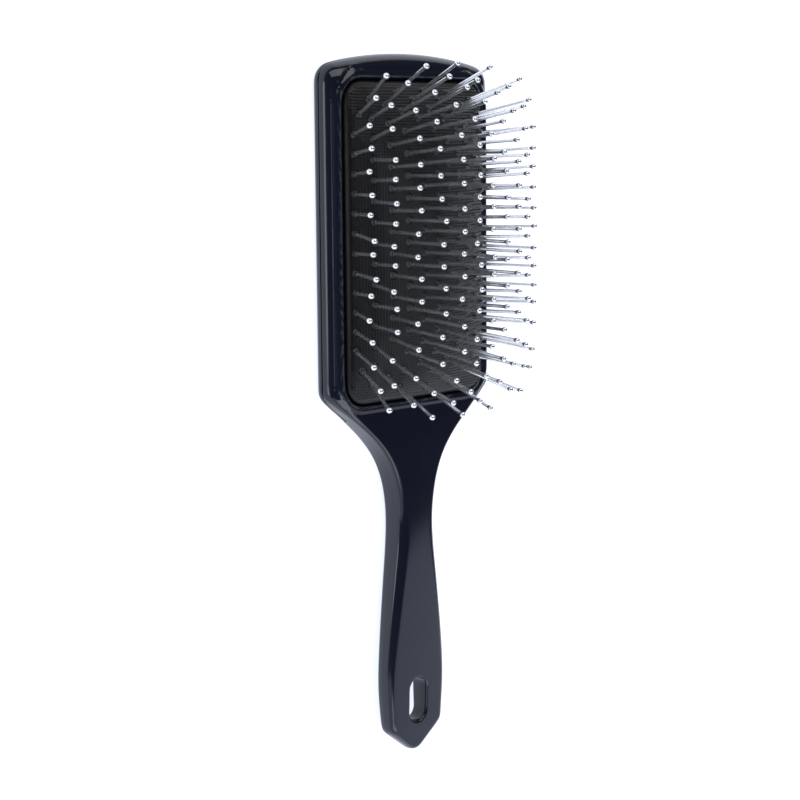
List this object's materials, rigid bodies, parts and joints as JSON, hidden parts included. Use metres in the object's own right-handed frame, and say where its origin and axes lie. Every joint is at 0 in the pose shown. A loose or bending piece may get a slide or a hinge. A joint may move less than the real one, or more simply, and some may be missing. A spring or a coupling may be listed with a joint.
{
  "type": "paddle brush",
  "caption": "Rectangular cushion paddle hair brush with ball-tipped wire pins in a sprung rubber pad, a tapered handle and a hanging slot.",
  "frame": {"origin": "centre of the bounding box in X and Y, on the flat back of the head", "axes": "+Z out of the cushion along the pins, +Y from the handle to the top of the head, +X across the head"},
  "size_m": [0.0818, 0.2467, 0.0415],
  "materials": {
    "body_plastic": "high-gloss dark navy moulded plastic",
    "cover_plastic": "gloss dark navy moulded plastic",
    "inner_plastic": "plain moulded plastic, hidden",
    "cushion_rubber": "black rubber embossed with a fine mesh",
    "backing_fabric": "woven backing layer, hidden",
    "pin_steel": "polished nickel-chrome steel wire"
  },
  "bodies": {
    "paddle": {"paddle_body": "body_plastic", "rear_cover": "cover_plastic", "cushion_clamp_frame": "inner_plastic", "cushion_pad": "cushion_rubber"},
    "pin_field": {"backing_cloth": "backing_fabric", "pin_row_01": "pin_steel", "pin_row_02": "pin_steel", "pin_row_03": "pin_steel", "pin_row_04": "pin_steel", "pin_row_05": "pin_steel", "pin_row_06": "pin_steel", "pin_row_07": "pin_steel", "pin_row_08": "pin_steel", "pin_row_09": "pin_steel", "pin_row_10": "pin_steel", "pin_row_11": "pin_steel", "pin_row_12": "pin_steel", "pin_row_13": "pin_steel", "pin_row_14": "pin_steel", "pin_row_15": "pin_steel", "pin_row_16": "pin_steel", "pin_row_17": "pin_steel", "pin_row_18": "pin_steel", "pin_row_19": "pin_steel", "pin_row_20": "pin_steel", "pin_row_21": "pin_steel", "pin_row_22": "pin_steel", "pin_row_23": "pin_steel", "pin_row_24": "pin_steel", "pin_row_25": "pin_steel", "pin_row_26": "pin_steel", "pin_row_27": "pin_steel", "pin_row_28": "pin_steel", "pin_row_29": "pin_steel"}
  },
  "joints": [
    {"name": "cushion_press", "type": "slide", "parent": "paddle", "child": "pin_field", "axis": [0, 0, -1], "range_m": [0, 0.003], "stiffness_N_per_m": 3000, "springref_m": -0.001, "deforming": ["cushion_pad"]}
  ]
}
